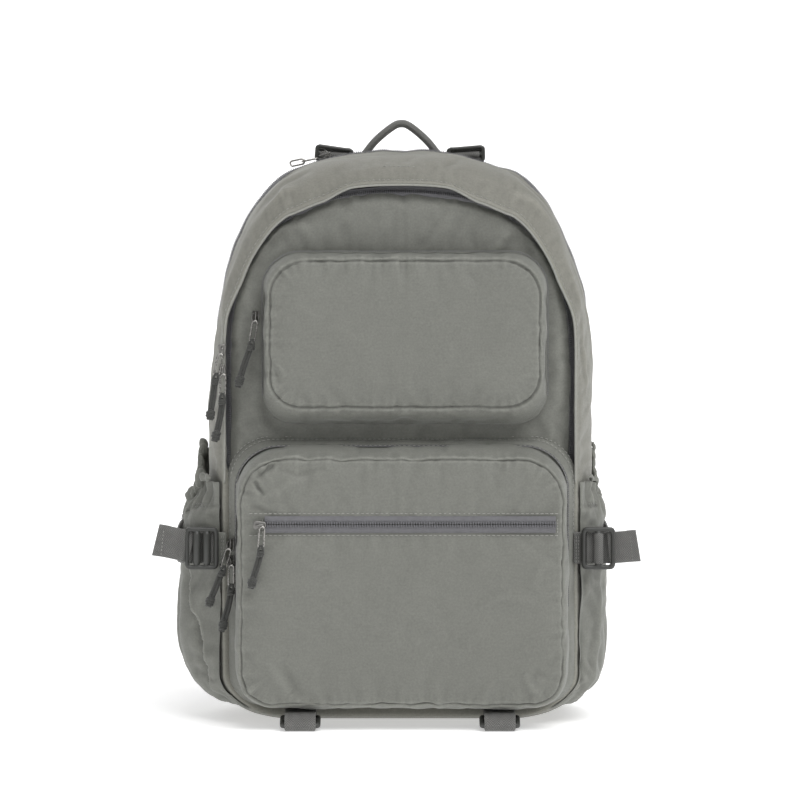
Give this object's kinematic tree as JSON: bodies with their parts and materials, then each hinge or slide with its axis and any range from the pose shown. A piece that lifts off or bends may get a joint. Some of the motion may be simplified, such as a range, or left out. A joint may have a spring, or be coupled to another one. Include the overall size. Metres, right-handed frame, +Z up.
{
  "type": "daypack",
  "caption": "Zipped daypack with a fold-down front flap, stacked front pockets, open side pockets, compression straps, webbing adjusters, cord zip pulls and padded shoulder straps.",
  "frame": {"origin": "on the flat base, under the middle of the main body", "axes": "+Z up, +X to the wearer's right, -Y the outer face, +Y the wearer's back"},
  "size_m": [0.39, 0.2739, 0.4755],
  "materials": {
    "nylon_fabric": "fine matte weave",
    "lining": "matte",
    "zip_tape": "ribbed tape",
    "webbing": "herringbone weave",
    "buckle_plastic": "satin moulded",
    "slider_metal": "painted, worn",
    "pull_wire": "drawn wire",
    "pull_cord": "braided cord"
  },
  "bodies": {
    "pack": {"main_gusset": "nylon_fabric", "back_panel": "nylon_fabric", "front_panel": "nylon_fabric", "lower_pocket": "nylon_fabric", "side_pocket_left": "nylon_fabric", "side_pocket_right": "nylon_fabric", "side_pocket_elastic_left": "nylon_fabric", "side_pocket_elastic_right": "nylon_fabric", "laptop_sleeve": "lining", "flap_zip_outer": "zip_tape", "lower_pocket_top_zip": "zip_tape", "lower_pocket_front_zip": "zip_tape", "top_zip": "zip_tape", "compression_anchor_left": "webbing", "compression_anchor_right": "webbing", "compression_strap_left": "webbing", "compression_strap_right": "webbing", "load_lifter_strap_left": "webbing", "load_lifter_strap_right": "webbing", "shoulder_webbing_left": "webbing", "shoulder_webbing_right": "webbing", "bottom_strap_left": "webbing", "bottom_strap_right": "webbing", "compression_buckle_left": "buckle_plastic", "compression_buckle_right": "buckle_plastic", "load_lifter_buckle_left": "buckle_plastic", "load_lifter_buckle_right": "buckle_plastic"},
    "flap": {"front_flap": "nylon_fabric", "flap_zip_inner": "zip_tape", "upper_pocket": "nylon_fabric", "upper_pocket_zip": "zip_tape"},
    "handle": {"grab_handle": "webbing"},
    "shoulder_left": {"shoulder_strap_left": "nylon_fabric", "shoulder_ladder_lock_left": "buckle_plastic"},
    "tail_left": {"compression_tail_left": "webbing"},
    "bottom_lock_left": {"bottom_ladder_lock_left": "buckle_plastic"},
    "shoulder_right": {"shoulder_strap_right": "nylon_fabric", "shoulder_ladder_lock_right": "buckle_plastic"},
    "tail_right": {"compression_tail_right": "webbing"},
    "bottom_lock_right": {"bottom_ladder_lock_right": "buckle_plastic"},
    "slider_flap_upper": {"slider_flap_upper": "slider_metal"},
    "pull_flap_upper": {"pull_wire_flap_upper": "pull_wire", "pull_cord_flap_upper": "pull_cord"},
    "slider_flap_lower": {"slider_flap_lower": "slider_metal"},
    "pull_flap_lower": {"pull_wire_flap_lower": "pull_wire", "pull_cord_flap_lower": "pull_cord"},
    "slider_upper_pocket": {"slider_upper_pocket": "slider_metal"},
    "pull_upper_pocket": {"pull_wire_upper_pocket": "pull_wire", "pull_cord_upper_pocket": "pull_cord"},
    "slider_lower_upper": {"slider_lower_upper": "slider_metal"},
    "pull_lower_upper": {"pull_wire_lower_upper": "pull_wire", "pull_cord_lower_upper": "pull_cord"},
    "slider_lower_lower": {"slider_lower_lower": "slider_metal"},
    "pull_lower_lower": {"pull_wire_lower_lower": "pull_wire", "pull_cord_lower_lower": "pull_cord"},
    "slider_front_zip": {"slider_front_zip": "slider_metal"},
    "pull_front_zip": {"pull_wire_front_zip": "pull_wire", "pull_cord_front_zip": "pull_cord"},
    "slider_top": {"slider_top": "slider_metal"},
    "pull_top": {"pull_wire_top": "pull_wire"}
  },
  "joints": [
    {"name": "flap_fold", "type": "hinge", "parent": "pack", "child": "flap", "pos_m": [0, -0.0585, 0.2285], "axis": [1, 0, 0], "range_deg": [0, 40]},
    {"name": "slider_flap_upper_travel", "type": "slide", "parent": "pack", "child": "slider_flap_upper", "axis": [0, 0, 1], "range_m": [0, 0.028]},
    {"name": "slider_flap_lower_travel", "type": "slide", "parent": "pack", "child": "slider_flap_lower", "axis": [0, 0, -1], "range_m": [0, 0.055]},
    {"name": "slider_upper_pocket_travel", "type": "slide", "parent": "flap", "child": "slider_upper_pocket", "axis": [0, 0, -1], "range_m": [0, 0.03]},
    {"name": "slider_lower_upper_travel", "type": "slide", "parent": "pack", "child": "slider_lower_upper", "axis": [0, 0, 1], "range_m": [0, 0.04]},
    {"name": "slider_lower_lower_travel", "type": "slide", "parent": "pack", "child": "slider_lower_lower", "axis": [0, 0, -1], "range_m": [0, 0.03]},
    {"name": "slider_front_zip_travel", "type": "slide", "parent": "pack", "child": "slider_front_zip", "axis": [1, 0, 0], "range_m": [0, 0.215]},
    {"name": "slider_top_travel", "type": "slide", "parent": "pack", "child": "slider_top", "axis": [0.9592, 0, 0.2826], "range_m": [-0.014, 0.006]},
    {"name": "pull_flap_upper_swing", "type": "hinge", "parent": "slider_flap_upper", "child": "pull_flap_upper", "pos_m": [-0.1412, -0.0722, 0.295], "axis": [-1, 0, 0], "range_deg": [0, 60]},
    {"name": "pull_flap_lower_swing", "type": "hinge", "parent": "slider_flap_lower", "child": "pull_flap_lower", "pos_m": [-0.1394, -0.0722, 0.279], "axis": [-1, 0, 0], "range_deg": [0, 60]},
    {"name": "pull_upper_pocket_swing", "type": "hinge", "parent": "slider_upper_pocket", "child": "pull_upper_pocket", "pos_m": [-0.114, -0.076, 0.3215], "axis": [-1, 0, 0], "range_deg": [0, 60]},
    {"name": "pull_lower_upper_swing", "type": "hinge", "parent": "slider_lower_upper", "child": "pull_lower_upper", "pos_m": [-0.135, -0.08, 0.1415], "axis": [-1, 0, 0], "range_deg": [0, 60]},
    {"name": "pull_lower_lower_swing", "type": "hinge", "parent": "slider_lower_lower", "child": "pull_lower_lower", "pos_m": [-0.133, -0.08, 0.1285], "axis": [-1, 0, 0], "range_deg": [0, 60]},
    {"name": "pull_front_zip_swing", "type": "hinge", "parent": "slider_front_zip", "child": "pull_front_zip", "pos_m": [-0.1078, -0.1188, 0.1625], "axis": [-1, 0, 0], "range_deg": [0, 60]},
    {"name": "pull_top_lift", "type": "hinge", "parent": "slider_top", "child": "pull_top", "pos_m": [-0.06662, 0.048, 0.45051], "axis": [0, 1, 0], "range_deg": [0, 80]},
    {"name": "handle_fold", "type": "hinge", "parent": "pack", "child": "handle", "pos_m": [0, 0.079, 0.45], "axis": [1, 0, 0], "range_deg": [-60, 0]},
    {"name": "shoulder_strap_left_swing", "type": "hinge", "parent": "pack", "child": "shoulder_left", "pos_m": [-0.05, 0.095, 0.425], "axis": [1, 0, 0], "range_deg": [0, 20], "deforming": ["shoulder_webbing_left", "load_lifter_strap_left"]},
    {"name": "compression_tail_left_swing", "type": "hinge", "parent": "pack", "child": "tail_left", "pos_m": [-0.158, -0.0746, 0.1412], "axis": [0, 0, 1], "range_deg": [0, 70]},
    {"name": "bottom_lock_left_swing", "type": "hinge", "parent": "pack", "child": "bottom_lock_left", "pos_m": [-0.0785, -0.0848, 0.0092], "axis": [1, 0, 0], "range_deg": [-6, 75]},
    {"name": "shoulder_strap_right_swing", "type": "hinge", "parent": "pack", "child": "shoulder_right", "pos_m": [0.05, 0.095, 0.425], "axis": [1, 0, 0], "range_deg": [0, 20], "deforming": ["shoulder_webbing_right", "load_lifter_strap_right"]},
    {"name": "compression_tail_right_swing", "type": "hinge", "parent": "pack", "child": "tail_right", "pos_m": [0.158, -0.0746, 0.1412], "axis": [0, 0, -1], "range_deg": [0, 70]},
    {"name": "bottom_lock_right_swing", "type": "hinge", "parent": "pack", "child": "bottom_lock_right", "pos_m": [0.0785, -0.0848, 0.0092], "axis": [1, 0, 0], "range_deg": [-6, 75]}
  ]
}
